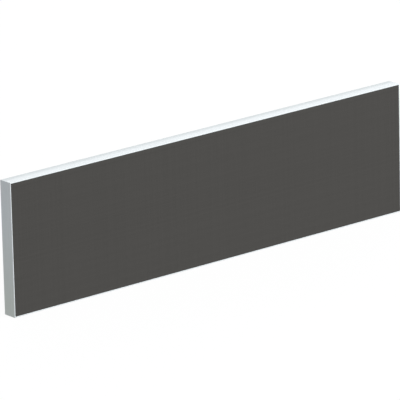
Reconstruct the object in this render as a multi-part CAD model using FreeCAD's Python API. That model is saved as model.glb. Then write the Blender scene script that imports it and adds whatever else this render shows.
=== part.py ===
import FreeCAD, Part
import math
import os

# Desk divider panel: a white aluminium frame that holds a fabric-covered board on each face.
# Millimetres. X runs along the panel, the front faces -Y, and Z is up from the panel's foot.

# Driving dimensions: the whole panel
PANEL_WIDTH = 1400.0
PANEL_HEIGHT = 380.0
PANEL_THICKNESS = 44.0

# Driving dimensions: the frame's extruded profile, an edge plate with a box spine behind it
PLATE_THICKNESS = 2.5
PLATE_OUTER_RADIUS = 0.9
PLATE_INNER_RADIUS = 0.4
SPINE_WIDTH = 20.5
SPINE_DEPTH = 20.0
SPINE_WALL = 1.6
SPINE_RADIUS = 0.6
CHAMBER_RADIUS = 0.4
MITRE_GAP = 0.2

# Driving dimensions: the boards, their fabric and the core between them
BOARD_CORNER_RADIUS = 1.0
BOARD_EDGE_RADIUS = 0.4
BOARD_GAP = 0.2
BOARD_SKIN = 2.6
FABRIC_THICKNESS = 0.8
FABRIC_RECESS = 0.15
FABRIC_RETURN = 18.0
CORE_CLEARANCE = 0.3

# Driving dimensions: the corner keys and the grub screws that lock them
KEY_LEG = 75.0
KEY_CLEARANCE = 0.15
KEY_CHAMFER = 2.0
GRUB_DIAMETER = 5.0
GRUB_LENGTH = 12.0
GRUB_FROM_CORNER = 48.0
GRUB_TIP_CHAMFER = 0.8
GRUB_CLEARANCE = 0.05
GRUB_SOCKET_FLATS = 2.5
GRUB_SOCKET_DEPTH = 3.0
GRUB_ACCESS_MARGIN = 0.5

# Driving dimensions: the push-in clips that hold the boards to the spine
CLIP_FLANGE_RADIUS = 6.0
CLIP_FLANGE_THICKNESS = 1.6
CLIP_PLUG_RADIUS = 3.5
CLIP_BARB = 0.4
CLIP_BARB_COUNT = 3
CLIP_NECK_RADIUS = 3.4
CLIP_HEAD_RADIUS = 4.6
CLIP_HEAD_TIP_RADIUS = 2.4
CLIP_HEAD_LENGTH = 4.2
CLIP_HEAD_SLIT = 1.4
CLIP_CLEARANCE = 0.2
CLIP_FROM_KEY = 14.0
CLIP_FROM_CARRIER = 30.0

# Driving dimensions: the two fixing slots in the foot and the sliding nuts above them
SLOT_WIDTH = 7.0
SLOT_LENGTH = 160.0
SLOT_INSET = 260.0
CARRIER_LENGTH = 36.0
CARRIER_FLOOR = 2.9
CARRIER_CLEARANCE = 0.2
BOW_WIDTH = 10.0
BOW_THICKNESS = 1.2
BOW_FOOT = 3.0
NUT_SIZE = 10.0
NUT_THICKNESS = 5.0
NUT_THREAD_RADIUS = 2.5
NUT_CHAMFER = 1.2
NUT_POCKET_GAP = 0.1
SCREW_HOLE_RADIUS = 3.3

# Sizes that follow from the ones above
HALF_THICKNESS = PANEL_THICKNESS / 2
HALF_SPINE = SPINE_WIDTH / 2
MEMBER_DEPTH = PLATE_THICKNESS + SPINE_DEPTH
CHAMBER_WIDTH = SPINE_WIDTH - 2 * SPINE_WALL
CHAMBER_DEPTH = SPINE_DEPTH - SPINE_WALL
CHAMBER_ROOF = PLATE_THICKNESS + CHAMBER_DEPTH
SPINE_MIDDLE = PLATE_THICKNESS + SPINE_DEPTH / 2
BOARD_INSET = PLATE_THICKNESS + BOARD_GAP + FABRIC_THICKNESS
BOARD_FRONT = -HALF_THICKNESS + FABRIC_RECESS + FABRIC_THICKNESS
BOARD_BACK = -HALF_SPINE - FABRIC_THICKNESS
CLIP_HOLE_DEPTH = -HALF_SPINE - BOARD_FRONT - BOARD_SKIN
CLIP_PLUG_LENGTH = CLIP_HOLE_DEPTH - CLIP_FLANGE_THICKNESS - CLIP_CLEARANCE
CORE_INSET = max(MEMBER_DEPTH, BOARD_INSET + FABRIC_RETURN) + CORE_CLEARANCE
KEY_REACH = PLATE_THICKNESS + KEY_LEG
GRUB_REACH = PLATE_THICKNESS + GRUB_FROM_CORNER
GRUB_HOLE_RADIUS = GRUB_DIAMETER / 2 + GRUB_CLEARANCE
SLOT_CENTRE = PANEL_WIDTH / 2 - SLOT_INSET
NUT_TRAVEL = (SLOT_LENGTH - SLOT_WIDTH) / 2
CARRIER_HEIGHT = CARRIER_FLOOR + NUT_THICKNESS + NUT_POCKET_GAP
CARRIER_SWEEP = NUT_TRAVEL + CARRIER_LENGTH / 2

X_AXIS = FreeCAD.Vector(1, 0, 0)
Y_AXIS = FreeCAD.Vector(0, 1, 0)
Z_AXIS = FreeCAD.Vector(0, 0, 1)
ORIGIN = FreeCAD.Vector(0, 0, 0)
MIDDLE = FreeCAD.Vector(0, 0, PANEL_HEIGHT / 2)


def vec(x, y, z):
    return FreeCAD.Vector(x, y, z)


def moved(shape, x, y, z):
    copy = shape.copy()
    copy.translate(vec(x, y, z))
    return copy


def block(low, high):
    """Box between two opposite corners."""
    size = high - low
    return Part.makeBox(size.x, size.y, size.z, low)


def prism(points, direction):
    """Flat outline through the points, drawn out along the direction."""
    return Part.Face(Part.makePolygon(points + points[:1])).extrude(direction)


def cut_all(shape, tools):
    return shape.cut(Part.makeCompound(tools))


def rounded_face(corners):
    """Face in the YZ plane. Each corner is (y, z, radius), and a radius of 0 leaves it sharp."""
    arcs = []
    ends = []
    for index, (y, z, radius) in enumerate(corners):
        here = vec(0, y, z)
        last_y, last_z, _ = corners[index - 1]
        next_y, next_z, _ = corners[(index + 1) % len(corners)]
        if radius == 0:
            ends.append((here, here))
            continue
        back = (vec(0, last_y, last_z) - here).normalize()
        ahead = (vec(0, next_y, next_z) - here).normalize()
        half_angle = back.getAngle(ahead) / 2
        reach = radius / math.tan(half_angle)
        inward = (back + ahead).normalize()
        top = here + inward * (radius / math.sin(half_angle) - radius)
        ends.append((here + back * reach, here + ahead * reach))
        arcs.append(Part.Arc(here + back * reach, top, here + ahead * reach).toShape())
    lines = [Part.LineSegment(ends[i - 1][1], ends[i][0]).toShape() for i in range(len(ends))]
    return Part.Face(Part.Wire(Part.__sortEdges__(lines + arcs)))


# The frame

def profile_face():
    """Section of a frame member: outer face on z = 0, spine towards +z, chamber for keys and nuts."""
    outline = rounded_face([
        (-HALF_THICKNESS, 0, PLATE_OUTER_RADIUS),
        (HALF_THICKNESS, 0, PLATE_OUTER_RADIUS),
        (HALF_THICKNESS, PLATE_THICKNESS, PLATE_INNER_RADIUS),
        (HALF_SPINE, PLATE_THICKNESS, 0),
        (HALF_SPINE, MEMBER_DEPTH, SPINE_RADIUS),
        (-HALF_SPINE, MEMBER_DEPTH, SPINE_RADIUS),
        (-HALF_SPINE, PLATE_THICKNESS, 0),
        (-HALF_THICKNESS, PLATE_THICKNESS, PLATE_INNER_RADIUS),
    ])
    chamber = rounded_face([
        (-CHAMBER_WIDTH / 2, PLATE_THICKNESS, CHAMBER_RADIUS),
        (CHAMBER_WIDTH / 2, PLATE_THICKNESS, CHAMBER_RADIUS),
        (CHAMBER_WIDTH / 2, CHAMBER_ROOF, CHAMBER_RADIUS),
        (-CHAMBER_WIDTH / 2, CHAMBER_ROOF, CHAMBER_RADIUS),
    ])
    return outline.cut(chamber)


def mitred_bar(length):
    """Frame member along X, centred on x = 0, with both ends cut at 45 degrees."""
    bar = profile_face().extrude(X_AXIS * length)
    half = length / 2 - MITRE_GAP / math.sqrt(2)
    envelope = prism(
        [
            vec(-half, -HALF_THICKNESS, 0),
            vec(half, -HALF_THICKNESS, 0),
            vec(half - MEMBER_DEPTH, -HALF_THICKNESS, MEMBER_DEPTH),
            vec(-half + MEMBER_DEPTH, -HALF_THICKNESS, MEMBER_DEPTH),
        ],
        Y_AXIS * PANEL_THICKNESS,
    )
    return moved(bar, -length / 2, 0, 0).common(envelope)


def frame_member(length, stations):
    """Mitred bar with a hole for each clip and an access hole over each grub screw."""
    clip_hole = Part.makeCylinder(
        CLIP_NECK_RADIUS + CLIP_CLEARANCE, SPINE_WIDTH, vec(0, -HALF_SPINE, SPINE_MIDDLE), Y_AXIS
    )
    access_hole = Part.makeCylinder(
        GRUB_DIAMETER / 2 + GRUB_ACCESS_MARGIN, SPINE_WALL, vec(0, 0, CHAMBER_ROOF), Z_AXIS
    )
    grub_x = length / 2 - GRUB_REACH
    tools = [moved(clip_hole, x, 0, 0) for x in stations]
    tools += [moved(access_hole, x, 0, 0) for x in (-grub_x, grub_x)]
    return cut_all(mitred_bar(length), tools)


def fixing_slot():
    """Round-ended slot through the edge plate, centred on x = 0."""
    ends = [
        Part.makeCylinder(SLOT_WIDTH / 2, PLATE_THICKNESS, vec(x, 0, 0), Z_AXIS)
        for x in (-NUT_TRAVEL, NUT_TRAVEL)
    ]
    middle = block(
        vec(-NUT_TRAVEL, -SLOT_WIDTH / 2, 0), vec(NUT_TRAVEL, SLOT_WIDTH / 2, PLATE_THICKNESS)
    )
    return middle.fuse(ends).removeSplitter()


def end_station(length):
    """Place of the clip nearest to a corner, just past the end of the corner key."""
    return length / 2 - KEY_REACH - CLIP_FROM_KEY


INNER_STATION = SLOT_CENTRE - CARRIER_SWEEP - CLIP_FROM_CARRIER
RAIL_STATIONS = [
    -end_station(PANEL_WIDTH),
    -INNER_STATION,
    0.0,
    INNER_STATION,
    end_station(PANEL_WIDTH),
]
STILE_STATIONS = [-end_station(PANEL_HEIGHT), end_station(PANEL_HEIGHT)]

# Each side of the frame: length, clip places along it, turn about Y and place of its outer face
SIDES = {
    "bottom_rail": (PANEL_WIDTH, RAIL_STATIONS, 0, vec(0, 0, 0)),
    "top_rail": (PANEL_WIDTH, RAIL_STATIONS, 180, vec(0, 0, PANEL_HEIGHT)),
    "left_stile": (PANEL_HEIGHT, STILE_STATIONS, 90, vec(-PANEL_WIDTH / 2, 0, PANEL_HEIGHT / 2)),
    "right_stile": (PANEL_HEIGHT, STILE_STATIONS, -90, vec(PANEL_WIDTH / 2, 0, PANEL_HEIGHT / 2)),
}


def on_side(shape, side):
    """Puts a shape that was made along X, with the outer face down, on one side of the frame."""
    _, _, turn, place = SIDES[side]
    copy = shape.copy()
    copy.rotate(ORIGIN, Y_AXIS, turn)
    copy.translate(place)
    return copy


def frame_members():
    members = {}
    for side, (length, stations, _, _) in SIDES.items():
        bar = frame_member(length, stations)
        if side == "bottom_rail":
            slot = fixing_slot()
            bar = cut_all(bar, [moved(slot, x, 0, 0) for x in (-SLOT_CENTRE, SLOT_CENTRE)])
        members[side] = on_side(bar, side)
    return members


# The corner keys and their grub screws

def mirrored_corners(shape):
    """The bottom left shape, and its copies for the other three corners."""
    right = shape.mirror(ORIGIN, X_AXIS)
    return {
        "bottom_left": shape,
        "bottom_right": right,
        "top_left": shape.mirror(MIDDLE, Z_AXIS),
        "top_right": right.mirror(MIDDLE, Z_AXIS),
    }


def grub_axes():
    """Foot and direction of the two grub screws in the bottom left corner."""
    wall_x = -PANEL_WIDTH / 2 + PLATE_THICKNESS
    return [
        (vec(wall_x + GRUB_FROM_CORNER, 0, PLATE_THICKNESS), Z_AXIS),
        (vec(wall_x, 0, PLATE_THICKNESS + GRUB_FROM_CORNER), X_AXIS),
    ]


def corner_key():
    """L-shaped key that fills the chambers of the bottom rail and the left stile."""
    near = KEY_CLEARANCE
    far = CHAMBER_DEPTH - KEY_CLEARANCE
    end = KEY_LEG
    outline = [
        (near, near),
        (end - KEY_CHAMFER, near),
        (end, near + KEY_CHAMFER),
        (end, far - KEY_CHAMFER),
        (end - KEY_CHAMFER, far),
        (far, far),
        (far, end - KEY_CHAMFER),
        (far - KEY_CHAMFER, end),
        (near + KEY_CHAMFER, end),
        (near, end - KEY_CHAMFER),
    ]
    width = CHAMBER_WIDTH - 2 * KEY_CLEARANCE
    key = prism([vec(x, -width / 2, z) for x, z in outline], Y_AXIS * width)
    long_edges = [edge for edge in key.Edges if edge.BoundBox.YLength < KEY_CLEARANCE]
    key = key.makeChamfer(CHAMBER_RADIUS, long_edges)
    key = moved(key, -PANEL_WIDTH / 2 + PLATE_THICKNESS, 0, PLATE_THICKNESS)
    holes = [
        Part.makeCylinder(GRUB_HOLE_RADIUS, CHAMBER_DEPTH, foot, axis) for foot, axis in grub_axes()
    ]
    return cut_all(key, holes)


def grub_screw():
    """Grub screw standing on the origin, with a hex socket in its upper end."""
    radius = GRUB_DIAMETER / 2
    tip = Part.makeCone(radius - GRUB_TIP_CHAMFER, radius, GRUB_TIP_CHAMFER)
    shank = Part.makeCylinder(radius, GRUB_LENGTH - GRUB_TIP_CHAMFER, vec(0, 0, GRUB_TIP_CHAMFER))
    corner = GRUB_SOCKET_FLATS / math.sqrt(3)
    angles = [math.radians(60 * i) for i in range(6)]
    floor = GRUB_LENGTH - GRUB_SOCKET_DEPTH
    hexagon = [vec(corner * math.cos(a), corner * math.sin(a), floor) for a in angles]
    return tip.fuse(shank).removeSplitter().cut(prism(hexagon, Z_AXIS * GRUB_SOCKET_DEPTH))


def grub_screws():
    upright = grub_screw()
    screws = []
    for foot, axis in grub_axes():
        screw = upright.copy()
        if axis == X_AXIS:
            screw.rotate(ORIGIN, Y_AXIS, 90)
        screw.translate(foot)
        screws += mirrored_corners(screw).values()
    return Part.makeCompound(screws)


# The boards, their fabric and the core

def board_slab(cover):
    """The board with its corners and front edges rounded, larger all round by a cover's thickness."""
    inset = BOARD_INSET - cover
    half = PANEL_WIDTH / 2 - inset
    front = BOARD_FRONT - cover
    slab = block(vec(-half, front, inset), vec(half, BOARD_BACK + cover, PANEL_HEIGHT - inset))
    corners = [edge for edge in slab.Edges if edge.BoundBox.YLength > BOARD_EDGE_RADIUS]
    slab = slab.makeFillet(BOARD_CORNER_RADIUS + cover, corners)
    rim = [edge for edge in slab.Edges if edge.BoundBox.YMax < front + BOARD_EDGE_RADIUS]
    return slab.makeFillet(BOARD_EDGE_RADIUS + cover, rim)


def clip_places():
    """Every clip: the side of the frame it is on and its place along that side."""
    return [(side, x) for side, (_, stations, _, _) in SIDES.items() for x in stations]


def at_clips(shape):
    """Copies of a shape made at a clip's seat on the front of the spine, one for each clip."""
    return [on_side(moved(shape, x, -HALF_SPINE, SPINE_MIDDLE), side) for side, x in clip_places()]


def front_board():
    """Board with a stepped blind hole in its back for each clip."""
    hole = Part.makeCylinder(
        CLIP_PLUG_RADIUS + CLIP_BARB + CLIP_CLEARANCE, CLIP_HOLE_DEPTH, ORIGIN, -Y_AXIS
    )
    seat = Part.makeCylinder(
        CLIP_FLANGE_RADIUS + CLIP_CLEARANCE, CLIP_FLANGE_THICKNESS + CLIP_CLEARANCE, ORIGIN, -Y_AXIS
    )
    return cut_all(board_slab(0), at_clips(hole.fuse(seat)))


def front_fabric():
    """Cloth stretched over the board, round its edges and a little way over its back."""
    skin = board_slab(FABRIC_THICKNESS).cut(board_slab(0))
    inset = BOARD_INSET + FABRIC_RETURN
    half = PANEL_WIDTH / 2 - inset
    window = block(vec(-half, BOARD_BACK, inset), vec(half, -HALF_SPINE, PANEL_HEIGHT - inset))
    opening = Part.makeCylinder(
        CLIP_FLANGE_RADIUS + CLIP_CLEARANCE, FABRIC_THICKNESS, ORIGIN, -Y_AXIS
    )
    return cut_all(skin.cut(window), at_clips(opening))


def acoustic_core():
    """Soft slab that fills the frame between the two boards."""
    half = PANEL_WIDTH / 2 - CORE_INSET
    top = PANEL_HEIGHT - CORE_INSET
    return block(vec(-half, BOARD_BACK, CORE_INSET), vec(half, -BOARD_BACK, top))


def panel_clip():
    """Push-in clip: barbed plug towards the board, split head towards the spine's chamber."""
    neck_end = SPINE_WALL + CLIP_CLEARANCE
    step = CLIP_PLUG_LENGTH / CLIP_BARB_COUNT
    outline = [
        (0, neck_end + CLIP_HEAD_LENGTH),
        (CLIP_HEAD_TIP_RADIUS, neck_end + CLIP_HEAD_LENGTH),
        (CLIP_HEAD_RADIUS, neck_end),
        (CLIP_NECK_RADIUS, neck_end),
        (CLIP_NECK_RADIUS, 0),
        (CLIP_FLANGE_RADIUS, 0),
        (CLIP_FLANGE_RADIUS, -CLIP_FLANGE_THICKNESS),
    ]
    for index in range(CLIP_BARB_COUNT):
        root = -CLIP_FLANGE_THICKNESS - index * step
        outline.append((CLIP_PLUG_RADIUS + CLIP_BARB, root))
        outline.append((CLIP_PLUG_RADIUS, root - step))
    outline.append((0, -CLIP_FLANGE_THICKNESS - CLIP_PLUG_LENGTH))
    points = [vec(radius, y, 0) for radius, y in outline]
    turned = Part.Face(Part.makePolygon(points + points[:1])).revolve(ORIGIN, Y_AXIS, 360)
    slit = block(
        vec(-CLIP_HEAD_RADIUS, 0, -CLIP_HEAD_SLIT / 2),
        vec(CLIP_HEAD_RADIUS, neck_end + CLIP_HEAD_LENGTH, CLIP_HEAD_SLIT / 2),
    )
    return turned.cut(slit)


# The sliding nuts in the foot

def square_nut():
    """Square nut with a chamfered top, standing on the floor of the carrier's pocket."""
    half = NUT_SIZE / 2
    nut = block(vec(-half, -half, 0), vec(half, half, NUT_THICKNESS))
    corner = half * math.sqrt(2)
    skirt = Part.makeCylinder(corner, NUT_THICKNESS - NUT_CHAMFER)
    crown = Part.makeCone(
        corner, corner - NUT_CHAMFER * math.sqrt(3), NUT_CHAMFER, vec(0, 0, NUT_THICKNESS - NUT_CHAMFER)
    )
    thread = Part.makeCylinder(NUT_THREAD_RADIUS, NUT_THICKNESS)
    return nut.common(skirt.fuse(crown)).cut(thread)


def nut_carrier():
    """Nylon slider that holds the nut, with a bow spring that bears on the chamber's roof."""
    half_length = CARRIER_LENGTH / 2
    half_width = CHAMBER_WIDTH / 2 - CARRIER_CLEARANCE
    base = block(vec(-half_length, -half_width, 0), vec(half_length, half_width, CARRIER_HEIGHT))
    crest = CHAMBER_DEPTH - 2 * CARRIER_CLEARANCE
    inner = half_length - BOW_FOOT
    outer_arc = Part.Arc(
        vec(-half_length, 0, CARRIER_HEIGHT), vec(0, 0, crest), vec(half_length, 0, CARRIER_HEIGHT)
    )
    inner_arc = Part.Arc(
        vec(inner, 0, CARRIER_HEIGHT), vec(0, 0, crest - BOW_THICKNESS), vec(-inner, 0, CARRIER_HEIGHT)
    )
    feet = [
        Part.LineSegment(vec(side * half_length, 0, CARRIER_HEIGHT), vec(side * inner, 0, CARRIER_HEIGHT))
        for side in (1, -1)
    ]
    edges = [outer_arc.toShape(), feet[0].toShape(), inner_arc.toShape(), feet[1].toShape()]
    bow = Part.Face(Part.Wire(Part.__sortEdges__(edges))).extrude(Y_AXIS * BOW_WIDTH)
    pocket_half = NUT_SIZE / 2 + NUT_POCKET_GAP
    pocket = block(
        vec(-pocket_half, -pocket_half, CARRIER_FLOOR), vec(pocket_half, pocket_half, CARRIER_HEIGHT)
    )
    screw_hole = Part.makeCylinder(SCREW_HOLE_RADIUS, CARRIER_HEIGHT)
    body = base.cut(pocket).cut(screw_hole).fuse(moved(bow, 0, -BOW_WIDTH / 2, 0))
    return body.removeSplitter()


def sliding_nuts():
    carrier_z = PLATE_THICKNESS + CARRIER_CLEARANCE
    carrier = nut_carrier()
    nut = square_nut()
    pieces = {}
    for name, x in (("left", -SLOT_CENTRE), ("right", SLOT_CENTRE)):
        pieces[name + "_nut_carrier"] = moved(carrier, x, 0, carrier_z)
        pieces[name + "_fixing_nut"] = moved(nut, x, 0, carrier_z + CARRIER_FLOOR)
    return pieces


def all_pieces():
    pieces = frame_members()
    for corner, key in mirrored_corners(corner_key()).items():
        pieces["corner_key_" + corner] = key
    pieces["corner_grub_screws"] = grub_screws()
    front_faces = {
        "board": front_board(),
        "fabric": front_fabric(),
        "panel_clips": Part.makeCompound(at_clips(panel_clip())),
    }
    for name, shape in front_faces.items():
        pieces["front_" + name] = shape
        pieces["rear_" + name] = shape.mirror(ORIGIN, Y_AXIS)
    pieces["acoustic_core"] = acoustic_core()
    pieces.update(sliding_nuts())
    return pieces


os.makedirs("parts", exist_ok=True)
for name, shape in all_pieces().items():
    shape.exportStep("parts/" + name + ".step")
    print(name, "solids", len(shape.Solids), "valid", shape.isValid(), "cm3", round(shape.Volume / 1000, 2))
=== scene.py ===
# %% [markdown]
# # A desk divider panel
# The panel is a thin white frame with a charcoal cloth-covered board on each face. Its rigid pieces come
# ready-made in the frame that the next cell loads, at their real size in metres: X runs along the panel,
# the front faces -Y and Z is up. What is left for Blender is what cloth, wadding, paint and light do.

# %% Load the rigid pieces
import math

import bmesh
import bpy
from mathutils import Matrix, Quaternion, Vector, noise


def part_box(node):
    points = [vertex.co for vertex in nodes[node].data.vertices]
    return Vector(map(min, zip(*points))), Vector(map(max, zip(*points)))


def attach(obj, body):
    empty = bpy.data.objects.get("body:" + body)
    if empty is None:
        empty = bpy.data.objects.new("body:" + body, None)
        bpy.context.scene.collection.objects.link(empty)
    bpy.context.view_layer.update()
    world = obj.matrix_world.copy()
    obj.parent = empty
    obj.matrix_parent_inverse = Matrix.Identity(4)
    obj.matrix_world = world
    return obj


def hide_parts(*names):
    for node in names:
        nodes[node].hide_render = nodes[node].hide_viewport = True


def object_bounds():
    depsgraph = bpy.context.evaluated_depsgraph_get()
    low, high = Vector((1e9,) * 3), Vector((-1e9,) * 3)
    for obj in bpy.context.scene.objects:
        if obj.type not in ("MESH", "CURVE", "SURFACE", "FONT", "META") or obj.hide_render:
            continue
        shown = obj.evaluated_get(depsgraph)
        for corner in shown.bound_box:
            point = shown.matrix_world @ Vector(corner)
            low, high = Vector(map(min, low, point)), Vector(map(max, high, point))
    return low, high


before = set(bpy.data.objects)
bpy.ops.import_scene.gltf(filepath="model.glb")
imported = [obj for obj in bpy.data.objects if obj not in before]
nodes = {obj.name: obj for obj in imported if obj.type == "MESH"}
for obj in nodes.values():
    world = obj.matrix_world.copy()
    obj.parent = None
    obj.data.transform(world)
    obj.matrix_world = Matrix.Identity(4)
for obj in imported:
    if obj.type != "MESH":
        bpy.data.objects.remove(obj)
cad_low, cad_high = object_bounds()
panel_size = cad_high - cad_low
print("panel", [round(size, 4) for size in panel_size], "rigid pieces", len(nodes))

# %% [markdown]
# ## The camera
# The photograph was taken with a very long lens: the panel's long edges hardly converge. The camera stands
# to the left of the panel and a little above it, and it leans over by about a degree. A camera could be
# aimed with a Track To constraint, but a lean is easier to add to a rotation. A camera looks along its own
# -Z axis, so the way back from the aim point to the camera is its +Z, and the lean is a turn about it.

# %% Place the camera
CAMERA_AZIMUTH = math.radians(-39.392)
CAMERA_ELEVATION = math.radians(16.9515)
CAMERA_LEAN = math.radians(-1.401)
CAMERA_DISTANCE = 13.947
CAMERA_AIM = Vector((-0.0175, 0.0104, 0.1803))
LENS_MM = 452.61
SENSOR_MM = 36.0

towards_camera = Vector((
    math.sin(CAMERA_AZIMUTH) * math.cos(CAMERA_ELEVATION),
    -math.cos(CAMERA_AZIMUTH) * math.cos(CAMERA_ELEVATION),
    math.sin(CAMERA_ELEVATION),
))
camera_data = bpy.data.cameras.new("camera")
camera_data.lens = LENS_MM
camera_data.sensor_width = SENSOR_MM
camera = bpy.data.objects.new("camera", camera_data)
camera.location = CAMERA_AIM + towards_camera * CAMERA_DISTANCE
turn = towards_camera.to_track_quat("Z", "Y") @ Quaternion((0, 0, 1), CAMERA_LEAN)
camera.rotation_euler = turn.to_euler()
scene = bpy.context.scene
scene.collection.objects.link(camera)
scene.camera = camera
scene.view_settings.view_transform = "Standard"
print("camera at", [round(place, 3) for place in camera.location])

# %% [markdown]
# ## The studio
# The photograph has a white background and soft light from the front, with the panel's left end in shade.
# The world around the panel gives the soft part of that light.
#
# The world, a material and a node group are all small graphs of nodes. Two helpers keep them short: one
# adds a node and fills its sockets with values or links, and the other does a single sum.

# %% Start with an empty world
def add_node(tree, kind, sockets=None, **settings):
    """A new node in a tree. Each socket that is named gets a plain value, or a link from another socket."""
    node = tree.nodes.new(kind)
    for key, value in settings.items():
        setattr(node, key, value)
    for key, value in (sockets or {}).items():
        if isinstance(value, bpy.types.NodeSocket):
            tree.links.new(value, node.inputs[key])
        else:
            node.inputs[key].default_value = value
    return node


def maths(tree, operation, first, second=0.0):
    """The result of one sum on two numbers or sockets."""
    return add_node(tree, "ShaderNodeMath", {0: first, 1: second}, operation=operation).outputs[0]


world = bpy.data.worlds.new("studio")
world.use_nodes = True
world.node_tree.nodes.clear()
scene.world = world
print("world", world.name, "has", len(world.node_tree.nodes), "nodes")

# %% [markdown]
# The world becomes a plain dome of soft light. Making the dome so bright that it shows white would wash out
# the panel, so the Light Path node tells the rays apart: a ray that looks straight at the dome, or sees it
# in a reflection, gets plain white at a strength of 1, and soft bounced light gets the weaker dome.

# %% Hang a dome of soft light
DOME_COLOUR = (0.97, 1.0, 1.03, 1.0)
DOME_STRENGTH = 0.405
WHITE = (1.0, 1.0, 1.0, 1.0)


def seen_directly(tree):
    """1 for rays from the camera, from a reflection or through glass, and 0 for soft bounced light."""
    path = add_node(tree, "ShaderNodeLightPath").outputs
    seen = maths(tree, "MAXIMUM", path["Is Camera Ray"], path["Is Glossy Ray"])
    return maths(tree, "MAXIMUM", seen, path["Is Transmission Ray"])


tree = world.node_tree
dome = add_node(tree, "ShaderNodeBackground", {"Color": DOME_COLOUR, "Strength": DOME_STRENGTH})
backdrop = add_node(tree, "ShaderNodeBackground", {"Color": WHITE, "Strength": 1.0})
both = add_node(tree, "ShaderNodeMixShader", {
    0: seen_directly(tree), 1: dome.outputs[0], 2: backdrop.outputs[0],
})
add_node(tree, "ShaderNodeOutputWorld", {"Surface": both.outputs[0]})
print("dome strength", DOME_STRENGTH, "with", len(tree.nodes), "nodes")

# %% [markdown]
# Two lamps give the light a direction. A sun lamp would light every spot alike, but in the photograph the
# cloth is a touch lighter towards the right and the top, as if it were nearer to a lamp there. So each lamp
# is a ball of light some way off, and the wide angle at which the panel sees it makes the edges of shadows
# soft. The strong one stands in front, on the right, and leaves the left end in shade. The weak one lights
# the rear face. It is kept out of reflections, because the flat top would mirror it into the camera and
# burn out.
#
# A ball sends its watts out all round. What reaches the panel is those watts divided by the area of a
# sphere as large as the distance, so the helper multiplies by that area to find the watts.

# %% Set up the lamps
LAMP_DISTANCE = 20.0
FRONT_RIGHT = (0.39, -0.72, 0.575)
REAR_RIGHT = (0.55, 0.70, 0.45)


def soft_lamp(name, towards, strength, softness, in_reflections):
    """A ball of light that stands the given way. Softness is the angle in degrees at which it is seen."""
    lamp_data = bpy.data.lights.new(name, "POINT")
    lamp_data.energy = strength * 4 * math.pi * LAMP_DISTANCE ** 2
    lamp_data.shadow_soft_size = LAMP_DISTANCE * math.tan(math.radians(softness / 2))
    lamp = bpy.data.objects.new(name, lamp_data)
    lamp.location = Vector(towards).normalized() * LAMP_DISTANCE
    lamp.visible_camera = False
    lamp.visible_glossy = in_reflections
    scene.collection.objects.link(lamp)
    print(name, round(lamp_data.energy), "watts at", LAMP_DISTANCE, "m")


soft_lamp("front_lamp", FRONT_RIGHT, strength=2.86, softness=30, in_reflections=True)
soft_lamp("rear_lamp", REAR_RIGHT, strength=0.96, softness=40, in_reflections=False)

# %% [markdown]
# The floor is a plain sheet just under the panel's foot. It is a grid of one face, made by a bmesh operator
# in the place where it belongs, so that its object can stay at the origin.

# %% Lay the floor
FLOOR_HALF = 12.0
FLOOR_DROP = 0.0005


def new_piece(name, shape):
    """An object at the origin with the shape as its mesh."""
    mesh = bpy.data.meshes.new(name)
    shape.to_mesh(mesh)
    shape.free()
    piece = bpy.data.objects.new(name, mesh)
    scene.collection.objects.link(piece)
    return piece


shape = bmesh.new()
under_foot = Matrix.Translation((0, 0, cad_low.z - FLOOR_DROP))
bmesh.ops.create_grid(shape, x_segments=1, y_segments=1, size=FLOOR_HALF, matrix=under_foot)
floor = new_piece("floor", shape)
print("floor", 2 * FLOOR_HALF, "m wide,", FLOOR_DROP, "m under the foot")

# %% [markdown]
# The floor shows almost white and keeps a faint shadow: most of what the camera sees is an even glow of its
# own, and the rest is a matt surface that the lamps light and the panel shades. Soft bounced light passes
# through it, and so does a camera below it, so that the panel's underside can be looked at as well.

# %% Colour the floor
FLOOR_GLOW = 0.955
FLOOR_MATT = (0.05, 0.05, 0.05, 1.0)

pale_floor = bpy.data.materials.new("pale_floor")
pale_floor.use_nodes = True
tree = pale_floor.node_tree
tree.nodes.clear()
glow = add_node(tree, "ShaderNodeEmission", {"Color": WHITE, "Strength": FLOOR_GLOW})
matt = add_node(tree, "ShaderNodeBsdfDiffuse", {"Color": FLOOR_MATT})
surface = add_node(tree, "ShaderNodeAddShader", {0: glow.outputs[0], 1: matt.outputs[0]})
clear = add_node(tree, "ShaderNodeBsdfTransparent")
from_above = maths(tree, "SUBTRACT", 1.0, add_node(tree, "ShaderNodeNewGeometry").outputs["Backfacing"])
shows = maths(tree, "MULTIPLY", seen_directly(tree), from_above)
mixed = add_node(tree, "ShaderNodeMixShader", {0: shows, 1: clear.outputs[0], 2: surface.outputs[0]})
add_node(tree, "ShaderNodeOutputMaterial", {"Surface": mixed.outputs[0]})
floor.data.materials.append(pale_floor)
print("floor glow", FLOOR_GLOW)

# %% [markdown]
# ## Two effects that many finishes share
# Nothing that is made is quite one colour, and nothing is quite smooth. Both effects could be copied into
# every material, but a node group is built once and then placed with other values. A group gets its named
# sockets first, and the nodes between them afterwards.

# %% Open a group for the uneven tone
def new_group(name, inputs, outputs):
    """An empty node group with named sockets, its input sockets, and the node that takes its outputs."""
    group = bpy.data.node_groups.new(name, "ShaderNodeTree")
    for title, kind in inputs.items():
        group.interface.new_socket(name=title, in_out="INPUT", socket_type="NodeSocket" + kind)
    for title, kind in outputs.items():
        group.interface.new_socket(name=title, in_out="OUTPUT", socket_type="NodeSocket" + kind)
    return group, group.nodes.new("NodeGroupInput").outputs, group.nodes.new("NodeGroupOutput")


uneven_tone, given, made = new_group(
    "uneven_tone",
    {"Position": "Vector", "Colour": "Color", "Scale": "Float", "Amount": "Float"},
    {"Colour": "Color"},
)
print("uneven tone has", len(uneven_tone.interface.items_tree), "sockets")

# %% [markdown]
# This group drifts a colour a little lighter and darker over the surface. It reads the position on the
# object, so the pattern stays on the piece from any side. Noise runs from 0 to 1, but nearly all of it lies
# between two values near the middle, so a ramp stretches that part to the whole range.

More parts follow.
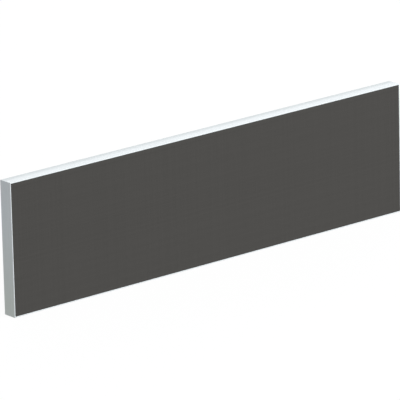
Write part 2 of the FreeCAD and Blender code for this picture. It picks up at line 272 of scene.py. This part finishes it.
# %% Build the uneven tone
NOISE_LOW = 0.3
NOISE_HIGH = 0.7


def ramp(tree, value, start, end, low=0.0, high=1.0):
    """A value carried smoothly from low at start to high at end."""
    sockets = {"Value": value, "From Min": start, "From Max": end, "To Min": low, "To Max": high}
    carried = add_node(tree, "ShaderNodeMapRange", sockets, interpolation_type="SMOOTHSTEP")
    return carried.outputs["Result"]


drift = add_node(uneven_tone, "ShaderNodeTexNoise", {
    "Vector": given["Position"], "Scale": given["Scale"], "Detail": 3.0, "Roughness": 0.55,
})
darkest = maths(uneven_tone, "SUBTRACT", 1.0, given["Amount"])
lightest = maths(uneven_tone, "ADD", 1.0, given["Amount"])
tone = ramp(uneven_tone, drift.outputs["Fac"], NOISE_LOW, NOISE_HIGH, darkest, lightest)
toned = add_node(uneven_tone, "ShaderNodeVectorMath", {
    0: given["Colour"], "Scale": tone,
}, operation="SCALE")
uneven_tone.links.new(toned.outputs["Vector"], made.inputs["Colour"])
print("uneven tone", len(uneven_tone.nodes), "nodes")

# %% [markdown]
# The second group gives a fine grain: a height for a Bump node, and a roughness that varies with it,
# because the hills of a surface are rubbed smoother than its hollows, or the other way round.

# %% Build the fine grain
fine_grain, given, made = new_group(
    "fine_grain",
    {"Position": "Vector", "Scale": "Float", "Roughness": "Float", "Spread": "Float"},
    {"Height": "Float", "Roughness": "Float"},
)
grain = add_node(fine_grain, "ShaderNodeTexNoise", {
    "Vector": given["Position"], "Scale": given["Scale"], "Detail": 2.0, "Roughness": 0.5,
})
roughest = maths(fine_grain, "ADD", given["Roughness"], given["Spread"])
smoothest = maths(fine_grain, "SUBTRACT", given["Roughness"], given["Spread"])
roughness = ramp(fine_grain, grain.outputs["Fac"], NOISE_LOW, NOISE_HIGH, smoothest, roughest)
fine_grain.links.new(grain.outputs["Fac"], made.inputs["Height"])
fine_grain.links.new(roughness, made.inputs["Roughness"])
print("fine grain", len(fine_grain.nodes), "nodes")

# %% [markdown]
# ## The frame's powder coat
# The frame is extruded aluminium with a cool white powder coat. The powder melts together in the oven and
# leaves a satin skin with a very fine texture, under a millimetre from hill to hill. Most finishes on this
# panel are such a toned, grained surface, so one function makes them all. Values that are the same all
# over, such as the metal share, are set on the shader itself, where an export can read them.

# %% Mix the powder coat
COAT_COLOUR = (0.845, 0.884, 0.90)


def place_group(tree, group, sockets):
    """A copy of a node group in a tree, with its own values."""
    return add_node(tree, "ShaderNodeGroup", sockets, node_tree=group).outputs


def new_finish(name):
    """A new material, its tree of nodes and its surface shader."""
    material = bpy.data.materials.new(name)
    material.use_nodes = True
    return material, material.node_tree, material.node_tree.nodes["Principled BSDF"]


def grained_finish(name, colour, metal, roughness, spread, drift_scale, drift_amount, grain_scale, relief):
    """A material whose colour drifts and whose surface has a fine grain of the given relief in metres."""
    material, tree, shader = new_finish(name)
    shader.inputs["Metallic"].default_value = metal
    position = add_node(tree, "ShaderNodeTexCoord").outputs["Object"]
    tone = place_group(tree, uneven_tone, {
        "Position": position, "Colour": (*colour, 1.0), "Scale": drift_scale, "Amount": drift_amount,
    })
    grain = place_group(tree, fine_grain, {
        "Position": position, "Scale": grain_scale, "Roughness": roughness, "Spread": spread,
    })
    bump = add_node(tree, "ShaderNodeBump", {
        "Height": grain["Height"], "Strength": 1.0, "Distance": relief,
    })
    tree.links.new(tone["Colour"], shader.inputs["Base Color"])
    tree.links.new(grain["Roughness"], shader.inputs["Roughness"])
    tree.links.new(bump.outputs["Normal"], shader.inputs["Normal"])
    return material


powder_coat = grained_finish(
    "powder_coat", COAT_COLOUR, metal=0.0, roughness=0.42, spread=0.04,
    drift_scale=6.0, drift_amount=0.01, grain_scale=1300.0, relief=0.00004,
)
print(powder_coat.name, len(powder_coat.node_tree.nodes), "nodes")

# %% [markdown]
# The four members of the frame are ready-made and their shapes are right, so they stay as they are and only
# their material changes. A small function does this for every ready-made piece.

# %% Coat the frame
def finish_nodes(material, *names):
    """Gives ready-made pieces a finish."""
    for name in names:
        for slot in nodes[name].material_slots:
            slot.material = material
    print(material.name, "on", len(names), "pieces")


finish_nodes(powder_coat, "top_rail", "bottom_rail", "left_stile", "right_stile")

# %% [markdown]
# Use shows on a white frame, and some shade is painted on it as well. The rear half of the top is painted a
# little greyer, as painted shade. It could be painted on by hand, but a mask is easier to change.
# Each mask is three things multiplied: which way the surface faces, where on the panel it is, and some
# patches of noise. They read the object and not the view, so they stay in place when the camera moves.

# %% Gather what the masks read
coat = powder_coat.node_tree
coat_colour = coat.nodes["Principled BSDF"].inputs["Base Color"]
position = add_node(coat, "ShaderNodeTexCoord").outputs["Object"]
place = add_node(coat, "ShaderNodeSeparateXYZ", {0: position}).outputs
normal = add_node(coat, "ShaderNodeNewGeometry").outputs["Normal"]
facing = add_node(coat, "ShaderNodeSeparateXYZ", {0: normal}).outputs
patches = add_node(coat, "ShaderNodeTexNoise", {"Vector": position, "Scale": 14.0, "Detail": 4.0})
print("powder coat", len(coat.nodes), "nodes with what the masks read")

# %% [markdown]
# The painted shade goes where the surface faces up. A ramp on the upward part of its direction keeps it off
# the rounded edges, and a second one lets it grow from just in front of the middle to the rear edge. The
# colour below stays in the graph: whatever feeds the coat's colour is mixed with the painted shade and fed
# in again.

# %% Paint shade on the rear of the top
# Painted shade: a greyer band that grows towards the rear edge of the top.
TOP_SHADE_COLOUR = (0.51, 0.555, 0.56, 1.0)
TOP_SHADE_WEAK = 0.52
TOP_SHADE_STRONG = 0.64
PATCH_LOW = 0.25
PATCH_HIGH = 0.75
TURNED_AWAY = 0.7
FACES_FULLY = 0.98
top_shade_starts = -0.35 * cad_high.y
top_shade_full = 0.85 * cad_high.y


def patchy(thin, thick):
    """A share that changes from thin to thick in soft patches."""
    return ramp(coat, patches.outputs["Fac"], PATCH_LOW, PATCH_HIGH, thin, thick)


def blend_colours(tree, share, first, second):
    """The first colour, with the given share of the second one mixed in."""
    sockets = {0: share, 6: first, 7: second}
    return add_node(tree, "ShaderNodeMix", sockets, data_type="RGBA").outputs[2]


def lay_on_coat(mask, colour):
    """Mixes a colour into the coat where a mask says so."""
    below = coat_colour.links[0].from_socket
    coat.links.new(blend_colours(coat, mask, below, colour), coat_colour)


upwards = ramp(coat, facing["Z"], TURNED_AWAY, FACES_FULLY)
rearwards = ramp(coat, place["Y"], top_shade_starts, top_shade_full)
on_top = maths(coat, "MULTIPLY", upwards, rearwards)
lay_on_coat(maths(coat, "MULTIPLY", on_top, patchy(TOP_SHADE_WEAK, TOP_SHADE_STRONG)), TOP_SHADE_COLOUR)
print("dust from", round(top_shade_starts, 4), "to the rear edge")

# %% [markdown]
# The lower part of the frame's end is painted a little warmer and greyer than the upper part: painted shade
# towards the foot, with the painted tint of light bounced up from the floor. So a second mask fades in
# towards the foot. It keeps to faces that look sideways, because the rim round the cloth stays white down
# to the foot.

# %% Paint shade low on the ends
# Painted shade: the ends darken and warm towards the foot.
FOOT_SHADE_COLOUR = (0.66, 0.715, 0.52, 1.0)
FOOT_SHADE_WEAK = 0.24
FOOT_SHADE_STRONG = 0.36
foot_shade_starts = 0.8 * panel_size.z
foot_shade_full = 0.1 * panel_size.z

low_down = ramp(coat, place["Z"], foot_shade_starts, foot_shade_full)
sideways = ramp(coat, maths(coat, "ABSOLUTE", facing["X"]), TURNED_AWAY, FACES_FULLY)
on_ends = maths(coat, "MULTIPLY", low_down, sideways)
lay_on_coat(maths(coat, "MULTIPLY", on_ends, patchy(FOOT_SHADE_WEAK, FOOT_SHADE_STRONG)), FOOT_SHADE_COLOUR)
print("film from", round(foot_shade_starts, 3), "m down to the foot")

# %% [markdown]
# The face under the foot has faint scuffs, which run along the panel because that is how it is pushed over
# a desk. Noise that a Mapping node squeezes across the panel comes out as long thin streaks, and only the
# strongest of them show.

# %% Scuff the foot
SCUFF_COLOUR = (0.42, 0.43, 0.44, 1.0)
SCUFF_SHARE = 0.35
SCUFF_SQUEEZE = (18.0, 1100.0, 1.0)
STREAK_STARTS = 0.58
STREAK_FULL = 0.74
FOOT_FACE = 0.001

squeezed = add_node(coat, "ShaderNodeMapping", {"Vector": position, "Scale": SCUFF_SQUEEZE})
streaks = add_node(coat, "ShaderNodeTexNoise", {
    "Vector": squeezed.outputs[0], "Scale": 1.0, "Detail": 4.0,
})
downwards = ramp(coat, facing["Z"], -TURNED_AWAY, -FACES_FULLY)
at_foot = maths(coat, "MULTIPLY", downwards, ramp(coat, place["Z"], FOOT_FACE, 0.0))
streaky = ramp(coat, streaks.outputs["Fac"], STREAK_STARTS, STREAK_FULL, 0.0, SCUFF_SHARE)
lay_on_coat(maths(coat, "MULTIPLY", at_foot, streaky), SCUFF_COLOUR)
print("powder coat", len(coat.nodes), "nodes")

# %% [markdown]
# ## The cloth
# Each board is covered with one piece of cloth, stretched over its face, folded round its edges and held at
# the back. It could be a box with a cloth pattern on it, but a real cover is one flat cut, so it is made as
# one: a flat sheet gets its fold lines, loses the squares at its corners, and each flap is then turned up
# and over. The flat cut also gives the UV map, so the weave runs on round the edges as it does on cloth.
#
# First come the sizes, which are those of the ready-made cover that the cloth takes the place of.

# %% Measure the covered board
CLOTH_RETURN = 0.018

cover_low, cover_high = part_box("front_fabric")
board_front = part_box("front_board")[0].y
cloth_thickness = board_front - cover_low.y
face_y = cover_low.y
wrap_depth = cover_high.y - cover_low.y
half_width = cover_high.x
half_height = (cover_high.z - cover_low.z) / 2
board_middle = Vector((0, 0, (cover_high.z + cover_low.z) / 2))
flat_half_width = half_width + wrap_depth + CLOTH_RETURN
flat_half_height = half_height + wrap_depth + CLOTH_RETURN
print("cloth", round(2 * flat_half_width, 4), "by", round(2 * flat_half_height, 4), "m flat")
print("cloth thickness", round(cloth_thickness, 5), "m, wrapped", round(wrap_depth, 4), "m deep")

# %% [markdown]
# The clips that hold the board go through the folded edge of the cloth, which has a round hole for each.
# The holes follow the clips themselves. The clips are one mesh of loose triangles, so a copy of it is
# merged, and each island of joined vertices is then one clip, whose box gives its middle and its flange.

# %% Find the clips
SAME_POINT = 1e-6


def island_boxes(name):
    """The lowest and highest corner of each separate shape in a ready-made piece."""
    copy = bmesh.new()
    copy.from_mesh(nodes[name].data)
    bmesh.ops.remove_doubles(copy, verts=copy.verts, dist=SAME_POINT)
    waiting = set(copy.verts)
    boxes = []
    while waiting:
        island = set()
        newest = {waiting.pop()}
        while newest:
            island |= newest
            newest = {edge.other_vert(vert) for vert in newest for edge in vert.link_edges} - island
        waiting -= island
        boxes.append([
            Vector([pick(vert.co[axis] for vert in island) for axis in range(3)]) for pick in (min, max)
        ])
    copy.free()
    return boxes


clip_boxes = island_boxes("front_panel_clips")
clip_centres = [(low + high) / 2 for low, high in clip_boxes]
flange_radius = (clip_boxes[0][1] - clip_boxes[0][0]).x / 2
print("clips", len(clip_centres), "flange radius", round(flange_radius, 5))

# %% [markdown]
# Now the flat cut. A grid of one face stands in the plane of the panel's front, and bisect_plane slices it
# along every fold line: one at each edge of the board's face, and one a board's depth further out.

# %% Cut the cloth flat
NEAR = 1e-5
QUARTER_TURN = math.radians(90)
ALONG = Vector((1, 0, 0))
BACK = Vector((0, 1, 0))
UP = Vector((0, 0, 1))

cloth = bmesh.new()
stand_up = (
    Matrix.Translation(board_middle + BACK * face_y)
    @ Matrix.Rotation(QUARTER_TURN, 4, "X")
    @ Matrix.Diagonal((flat_half_width, flat_half_height, 1, 1))
)
bmesh.ops.create_grid(cloth, x_segments=1, y_segments=1, size=1.0, matrix=stand_up)
sides = [(ALONG, half_width), (-ALONG, half_width), (UP, half_height), (-UP, half_height)]
for way, half in sides:
    for reach in (half, half + wrap_depth):
        sheet = cloth.verts[:] + cloth.edges[:] + cloth.faces[:]
        line = board_middle + way * reach
        bmesh.ops.bisect_plane(cloth, geom=sheet, dist=NEAR, plane_co=line, plane_no=way)
print("sheet sliced into", len(cloth.faces), "faces")

# %% [markdown]
# The four corner squares go, because two flaps can't fill one corner, and the ends of the flaps are drawn
# in at 45 degrees so that they meet in a mitre behind the board. The flat places are then written to the
# UV map in metres.

# %% Take out the corners and mark the flat places
corners = []
for face in cloth.faces:
    spot = face.calc_center_median() - board_middle
    if abs(spot.x) > half_width and abs(spot.z) > half_height:
        corners.append(face)
bmesh.ops.delete(cloth, geom=corners, context="FACES")
for vert in cloth.verts:
    spot = vert.co - board_middle
    if abs(spot.x) > flat_half_width - NEAR:
        vert.co.z -= math.copysign(CLOTH_RETURN, spot.z)
    elif abs(spot.z) > flat_half_height - NEAR:
        vert.co.x -= math.copysign(CLOTH_RETURN, spot.x)

flat_map = cloth.loops.layers.uv.new("flat_cloth")
for face in cloth.faces:
    for loop in face.loops:
        loop[flat_map].uv = (loop.vert.co - board_middle).xz
cut_area = sum(face.calc_area() for face in cloth.faces)
print("flat cut of", len(cloth.faces), "faces and", round(cut_area, 4), "square metres")

# %% [markdown]
# Folding is two quarter turns for each flap: the whole flap turns about the board's front edge, and the
# part that lies behind turns once more about the back edge. The turn that carries a way outwards to the way
# back is about their cross product, so one function serves all four sides. Merging doubles closes the
# corners.

# %% Fold the flaps
def fold_flap(way, half):
    """Turns the flap on one side round the board's edge and on to its back."""
    quarter = Matrix.Rotation(QUARTER_TURN, 3, way.cross(BACK))
    front_edge = board_middle + way * half + BACK * face_y
    back_edge = front_edge + BACK * wrap_depth
    reach = {vert: (vert.co - board_middle).dot(way) for vert in cloth.verts}
    flap = [vert for vert in cloth.verts if reach[vert] > half + NEAR]
    behind = [vert for vert in flap if reach[vert] > half + wrap_depth + NEAR]
    bmesh.ops.rotate(cloth, cent=front_edge, matrix=quarter, verts=flap)
    bmesh.ops.rotate(cloth, cent=back_edge, matrix=quarter, verts=behind)


for way, half in sides:
    fold_flap(way, half)
bmesh.ops.remove_doubles(cloth, verts=cloth.verts, dist=NEAR)
depth = max(vert.co.y for vert in cloth.verts) - min(vert.co.y for vert in cloth.verts)
print("folded", round(depth, 4), "m deep, with", len(cloth.verts), "points")

# %% [markdown]
# The board under the cloth has rounded corners and a finer rounding along its face, and the cloth adds its
# thickness to both. So there are two bevels: first the four edges that run from front to back at the
# corners, then the whole outline of the face. The normals are worked out before the cloth gets its
# thickness.

# %% Round the edges that the cloth is pulled over
BOARD_CORNER_RADIUS = 0.001
BOARD_EDGE_RADIUS = 0.0004
ROUNDING = {"offset_type": "OFFSET", "segments": 5, "profile": 0.5, "affect": "EDGES", "material": -1}


def length_back(edge):
    """How far an edge runs from front to back."""
    return abs((edge.verts[0].co - edge.verts[1].co).y)


def largest_face():
    """The face of the cloth that covers the front of the board."""
    return max(cloth.faces, key=lambda face: face.calc_area())


corners = [edge for edge in cloth.edges if length_back(edge) > wrap_depth - NEAR]
bmesh.ops.bevel(cloth, geom=corners, offset=BOARD_CORNER_RADIUS + cloth_thickness, **ROUNDING)
outline = largest_face().edges[:]
bmesh.ops.bevel(cloth, geom=outline, offset=BOARD_EDGE_RADIUS + cloth_thickness, **ROUNDING)
bmesh.ops.recalc_face_normals(cloth, faces=cloth.faces)
if largest_face().normal.dot(BACK) > 0:
    bmesh.ops.reverse_faces(cloth, faces=cloth.faces)
print("corners", len(corners), "faces after both bevels", len(cloth.faces))

# %% [markdown]
# The clip holes are cut with a Boolean, which takes one solid away from another. What is taken away here is
# a set of plain round rods that stand in the folded edge, one at each clip and a little wider than its
# flange.

# %% Stand a rod at each clip
HOLE_CLEARANCE = 0.0002
ROD_SIDES = 24
rod_radius = flange_radius + HOLE_CLEARANCE
rod_depth = 4 * cloth_thickness

shape = bmesh.new()
for centre in clip_centres:
    spot = Vector((centre.x, face_y + wrap_depth, centre.z))
    bmesh.ops.create_cone(
        shape, cap_ends=True, segments=ROD_SIDES, depth=rod_depth, radius1=rod_radius, radius2=rod_radius,
        matrix=Matrix.Translation(spot) @ Matrix.Rotation(QUARTER_TURN, 4, "X"),
    )
rods = new_piece("hole_rods", shape)
print("rods", len(clip_centres), "of radius", round(rod_radius, 5))

# %% [markdown]
# A Solidify modifier gives the skin the cloth's thickness on its inner side, and the Boolean follows it.
# The finished shape then takes the place of the live modifiers, so that nothing depends on the rods any
# more and they can go.

# %% Give the front cloth its thickness and its holes
front_cloth = new_piece("front_cloth", cloth)
wall = front_cloth.modifiers.new("thickness", "SOLIDIFY")
wall.thickness = cloth_thickness
wall.offset = -1.0
wall.use_even_offset = True
holes = front_cloth.modifiers.new("clip_holes", "BOOLEAN")
holes.object = rods
holes.operation = "DIFFERENCE"
holes.solver = "EXACT"
graph = bpy.context.evaluated_depsgraph_get()
finished = bpy.data.meshes.new_from_object(front_cloth.evaluated_get(graph))
front_cloth.modifiers.clear()
front_cloth.data = finished
bpy.data.objects.remove(rods)
print("faces in the front cloth", len(finished.polygons))

# %% [markdown]
# The rear cover is the same piece, mirrored across the middle of the panel. Mirroring turns every face
# inside out, and here the whole shape was right before, so each face is simply turned round again.

# %% Mirror it for the rear
CM3_PER_M3 = 1e6

shape = bmesh.new()
shape.from_mesh(finished)
bmesh.ops.transform(shape, matrix=Matrix.Scale(-1, 4, BACK), verts=shape.verts)
bmesh.ops.reverse_faces(shape, faces=shape.faces)
print("rear cloth volume", round(shape.calc_volume(signed=True) * CM3_PER_M3, 1), "cubic centimetres")
rear_cloth = new_piece("rear_cloth", shape)

# %% [markdown]
# ## The weave
# Seen close, the cover is a plain weave: warp yarns run up the panel, weft yarns along it, and each goes
# over one and under the next. A picture of cloth would blur or repeat, so the weave is worked out from
# sums, in a group that counts in yarns along the flat cloth.

# %% Count the yarns
plain_weave, given, made = new_group(
    "plain_weave",
    {"Flat Place": "Vector", "Pitch": "Float"},
    {"Height": "Float", "Tone": "Float"},
)
flat = add_node(plain_weave, "ShaderNodeSeparateXYZ", {0: given["Flat Place"]}).outputs
along = maths(plain_weave, "DIVIDE", flat["X"], given["Pitch"])
up = maths(plain_weave, "DIVIDE", flat["Y"], given["Pitch"])
print("weave starts with", len(plain_weave.nodes), "nodes")

# %% [markdown]
# A yarn is a round ridge that rises and dips in a sine wave, with the fine slanting lines of its twist.
# Every yarn gets a tone of its own, and thin streaks run along it, as dyed fibres do. Warp and weft are the
# same yarn counted two ways, and where the one starts on top, the other starts below.

# %% Draw the yarns
HALF_TURN = 0.5
TWISTS_PER_PITCH = 2.0
TWIST_RELIEF = 0.06
WAVE_HEIGHT = 0.5
FIBRES_ACROSS = 9.0
FIBRES_ALONG = 1.3
FIBRE_SHIFT = 40.0
OWN_TONE = 0.2
FIBRE_TONE = 0.8
WARP_SEED = 0.5
WEFT_SEED = 700.5


def sine(value, turns):
    """A sine wave that makes the given number of turns for each whole step of a value."""
    return maths(plain_weave, "SINE", maths(plain_weave, "MULTIPLY", value, 2 * math.pi * turns))


def weighted(first, first_share, second, second_share):
    """The sum of two values, each multiplied by its share."""
    one = maths(plain_weave, "MULTIPLY", first, first_share)
    return maths(plain_weave, "ADD", one, maths(plain_weave, "MULTIPLY", second, second_share))


def yarn(count, run, starts_over, seed):
    """Height and tone of the yarns that are counted one way and run the other way."""
    number = maths(plain_weave, "FLOOR", count)
    across = maths(plain_weave, "FRACT", count)
    wave = sine(maths(plain_weave, "ADD", run, number), HALF_TURN)
    twist = sine(weighted(run, TWISTS_PER_PITCH, across, 1.0), 1.0)
    ridge = weighted(sine(across, HALF_TURN), 1.0, twist, TWIST_RELIEF)
    own = add_node(plain_weave, "ShaderNodeTexWhiteNoise", {
        "W": maths(plain_weave, "ADD", number, seed),
    }, noise_dimensions="1D").outputs["Value"]
    along_yarn = add_node(plain_weave, "ShaderNodeCombineXYZ", {
        "X": maths(plain_weave, "MULTIPLY", count, FIBRES_ACROSS),
        "Y": maths(plain_weave, "MULTIPLY", run, FIBRES_ALONG),
        "Z": maths(plain_weave, "MULTIPLY", own, FIBRE_SHIFT),
    })
    fibres = add_node(plain_weave, "ShaderNodeTexNoise", {
        "Vector": along_yarn.outputs[0], "Scale": 1.0, "Detail": 3.0,
    }).outputs["Fac"]
    height = weighted(ridge, 1.0, wave, WAVE_HEIGHT * starts_over)
    return height, weighted(own, OWN_TONE, fibres, FIBRE_TONE)


warp_height, warp_tone = yarn(along, up, 1.0, WARP_SEED)
weft_height, weft_tone = yarn(up, along, -1.0, WEFT_SEED)
print("yarn nodes", len(plain_weave.nodes))

# %% [markdown]
# Where a warp and a weft yarn cross, a comparison of their heights says which one lies on top, and its tone
# is the one that shows.

# %% Cross the yarns
warp_shows = maths(plain_weave, "GREATER_THAN", warp_height, weft_height)
tone = add_node(plain_weave, "ShaderNodeMix", {0: warp_shows, 2: weft_tone, 3: warp_tone}).outputs[0]
height = maths(plain_weave, "MAXIMUM", warp_height, weft_height)
plain_weave.links.new(height, made.inputs["Height"])
plain_weave.links.new(tone, made.inputs["Tone"])
print("weave nodes", len(plain_weave.nodes))

# %% [markdown]
# The cloth is charcoal with a breath of warmth, and quite matt. The gaps between the yarns are painted
# darker, as painted shade, and are rougher than their tops, and each yarn's tone moves its tint a little. A
# little sheen stands for the loose fibres that catch light at a flat angle.

# %% Dye the cloth
CLOTH_DARK = (0.0444, 0.0426, 0.0394, 1.0)
CLOTH_LIGHT = (0.0752, 0.0720, 0.0667, 1.0)
CLOTH_SURFACE = {"Specular IOR Level": 0.2, "Sheen Weight": 0.06, "Sheen Roughness": 0.5}
YARN_PITCH = 0.0010
GAP_HEIGHT, TOP_HEIGHT = 0.2, 1.3
GAP_SHADE_TINT, TOP_TINT = 0.25, 0.75
GAP_ROUGHNESS, TOP_ROUGHNESS = 0.97, 0.86
TONE_SPREAD = 0.3

charcoal_weave, tree, shader = new_finish("charcoal_weave")
for title, value in CLOTH_SURFACE.items():
    shader.inputs[title].default_value = value
flat_place = add_node(tree, "ShaderNodeUVMap", uv_map="flat_cloth").outputs["UV"]
weave = place_group(tree, plain_weave, {"Flat Place": flat_place, "Pitch": YARN_PITCH})
# Painted shade: the lower a spot of the weave lies, the darker its colour.
painted_gap_shade = ramp(tree, weave["Height"], GAP_HEIGHT, TOP_HEIGHT, GAP_SHADE_TINT, TOP_TINT)
own_tone = ramp(tree, weave["Tone"], NOISE_LOW, NOISE_HIGH, -TONE_SPREAD, TONE_SPREAD)
tint = maths(tree, "ADD", painted_gap_shade, own_tone)
dull = ramp(tree, weave["Height"], GAP_HEIGHT, TOP_HEIGHT, GAP_ROUGHNESS, TOP_ROUGHNESS)
tree.links.new(blend_colours(tree, tint, CLOTH_DARK, CLOTH_LIGHT), shader.inputs["Base Color"])
tree.links.new(dull, shader.inputs["Roughness"])
print("cloth colour", len(tree.nodes), "nodes, yarns every", YARN_PITCH, "m")

# %% [markdown]
# From a few steps away a yarn is narrower than a pixel, and a Bump node that looks at one spot in each
# pixel would find a false pattern of broad checks. With a Filter Width of 1 it compares heights a whole
# pixel apart, so the relief fades as it gets too fine to see.

# %% Raise the yarns
YARN_RELIEF = 0.00015
PIXELS_COMPARED = 1.0

bump = add_node(tree, "ShaderNodeBump", {
    "Height": weave["Height"], "Strength": 0.8, "Distance": YARN_RELIEF, "Filter Width": PIXELS_COMPARED,
})
tree.links.new(bump.outputs["Normal"], shader.inputs["Normal"])
print("cloth finish", len(tree.nodes), "nodes, relief", YARN_RELIEF, "m")

# %% [markdown]
# Both cloths now take the place of the plain covers and ride on the panel.

# %% Put the cloths on the boards
for cover, replaced, board in (
    (front_cloth, "front_fabric", "front_board"), (rear_cloth, "rear_fabric", "rear_board"),
):
    cover.data.materials.clear()
    cover.data.materials.append(charcoal_weave)
    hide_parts(replaced)
    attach(cover, "panel")
    print(cover.name, "stretched over", board)

# %% [markdown]
# ## The acoustic core
# Between the two boards lies a slab of needled polyester wadding, which takes up sound. It is pressed flat
# where the boards touch it and is soft round its rim. Nothing pulls or drapes it, so a simulation would
# leave it as it is. A cube that is sliced into cells along each axis is enough to start from.

# %% Slice a block into cells
CELL = 0.03
FEWEST_CUTS = 3
HALF_CUBE = 0.5

core_low, core_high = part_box("acoustic_core")
core_size = core_high - core_low
core_middle = (core_low + core_high) / 2
shape = bmesh.new()
bmesh.ops.create_cube(shape, size=2 * HALF_CUBE)
for axis in range(3):
    cuts = max(FEWEST_CUTS, round(core_size[axis] / CELL))
    lines = [
        edge for edge in shape.edges if abs((edge.verts[0].co - edge.verts[1].co)[axis]) > HALF_CUBE
    ]
    bmesh.ops.subdivide_edges(shape, edges=lines, cuts=cuts, use_grid_fill=True)
print("block of", len(shape.faces), "cells")

# %% [markdown]
# The rim is then thinned and drawn in a little by a smooth noise, so that it is slack and lumpy, and
# Subdivision Surface rounds the result.

# %% Slacken the rim of the wadding
RIM_SLACK = 0.30
LUMP = 0.0012
LUMPS_PER_METRE = 9.0

rim = [vert for vert in shape.verts if max(abs(vert.co.x), abs(vert.co.z)) > HALF_CUBE - NEAR]
bmesh.ops.scale(shape, vec=(1, 1 - RIM_SLACK, 1), verts=rim)
bmesh.ops.scale(shape, vec=core_size, verts=shape.verts)
for vert in rim:
    inwards = -Vector((vert.co.x, 0, vert.co.z)).normalized()
    vert.co += inwards * LUMP * (1 + noise.noise(vert.co * LUMPS_PER_METRE))
bmesh.ops.translate(shape, vec=core_middle, verts=shape.verts)
for face in shape.faces:
    face.smooth = True
wadding = new_piece("acoustic_wadding", shape)
rounding = wadding.modifiers.new("rounding", "SUBSURF")
rounding.levels = 1
rounding.render_levels = 1
print(wadding.name, [round(size, 4) for size in core_size], "m with", len(rim), "points in its rim")

# %% [markdown]
# Wadding is a pale tangle of fibres with cloudy lighter and darker places. The tone group gives the clouds,
# the grain group a fuzzy surface, and some sheen the fibre ends that stand up from it.

# %% Finish the wadding
WADDING_COLOUR = (0.72, 0.72, 0.70)
WADDING_SHEEN = 0.2

needled_wadding = grained_finish(
    "needled_wadding", WADDING_COLOUR, metal=0.0, roughness=0.95, spread=0.03,
    drift_scale=60.0, drift_amount=0.12, grain_scale=900.0, relief=0.0004,
)
needled_wadding.node_tree.nodes["Principled BSDF"].inputs["Sheen Weight"].default_value = WADDING_SHEEN
wadding.data.materials.append(needled_wadding)
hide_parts("acoustic_core")
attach(wadding, "panel")
print(wadding.name, "between the boards")

# %% [markdown]
# ## The boards
# The boards under the cloth are soft fibreboard: brown wood fibre pressed to a sheet, with darker and
# lighter specks. The drift is small in scale and strong here.

# %% Finish the boards
FIBREBOARD_COLOUR = (0.50, 0.385, 0.26)

soft_fibreboard = grained_finish(
    "soft_fibreboard", FIBREBOARD_COLOUR, metal=0.0, roughness=0.9, spread=0.05,
    drift_scale=420.0, drift_amount=0.22, grain_scale=1500.0, relief=0.00025,
)
finish_nodes(soft_fibreboard, "front_board", "rear_board")

# %% [markdown]
# ## Keys and screws
# The corner keys are castings with a dull, faintly grained skin. The grub screws that lock them are
# blackened steel. Both are the same kind of finish with other values, and metal takes its colour from what
# it reflects, so its metal share is high.

# %% Finish the keys and screws
DIE_CAST_COLOUR = (0.60, 0.61, 0.62)
BLACK_OXIDE_COLOUR = (0.055, 0.055, 0.06)

die_cast_metal = grained_finish(
    "die_cast_metal", DIE_CAST_COLOUR, metal=1.0, roughness=0.48, spread=0.10,
    drift_scale=70.0, drift_amount=0.06, grain_scale=1800.0, relief=0.00003,
)
finish_nodes(
    die_cast_metal, "corner_key_bottom_left", "corner_key_bottom_right", "corner_key_top_left",
    "corner_key_top_right",
)
black_oxide_steel = grained_finish(
    "black_oxide_steel", BLACK_OXIDE_COLOUR, metal=0.7, roughness=0.40, spread=0.08,
    drift_scale=300.0, drift_amount=0.15, grain_scale=2500.0, relief=0.00001,
)
finish_nodes(black_oxide_steel, "corner_grub_screws")

# %% [markdown]
# ## Clips and sliding nuts
# Clips and nut carriers are moulded nylon, with the even, fine texture that the mould leaves. The captive
# nuts in the foot are bright zinc-plated steel, a little cloudy: their roughness varies more than their
# colour.

# %% Finish the clips and the nuts
NYLON_COLOUR = (0.075, 0.075, 0.080)
ZINC_COLOUR = (0.66, 0.675, 0.69)

moulded_nylon = grained_finish(
    "moulded_nylon", NYLON_COLOUR, metal=0.0, roughness=0.52, spread=0.06,
    drift_scale=90.0, drift_amount=0.08, grain_scale=3000.0, relief=0.00002,
)
finish_nodes(
    moulded_nylon, "front_panel_clips", "rear_panel_clips", "left_nut_carrier", "right_nut_carrier",
)
bright_zinc_plate = grained_finish(
    "bright_zinc_plate", ZINC_COLOUR, metal=1.0, roughness=0.27, spread=0.09,
    drift_scale=220.0, drift_amount=0.08, grain_scale=1400.0, relief=0.00001,
)
finish_nodes(bright_zinc_plate, "left_fixing_nut", "right_fixing_nut")
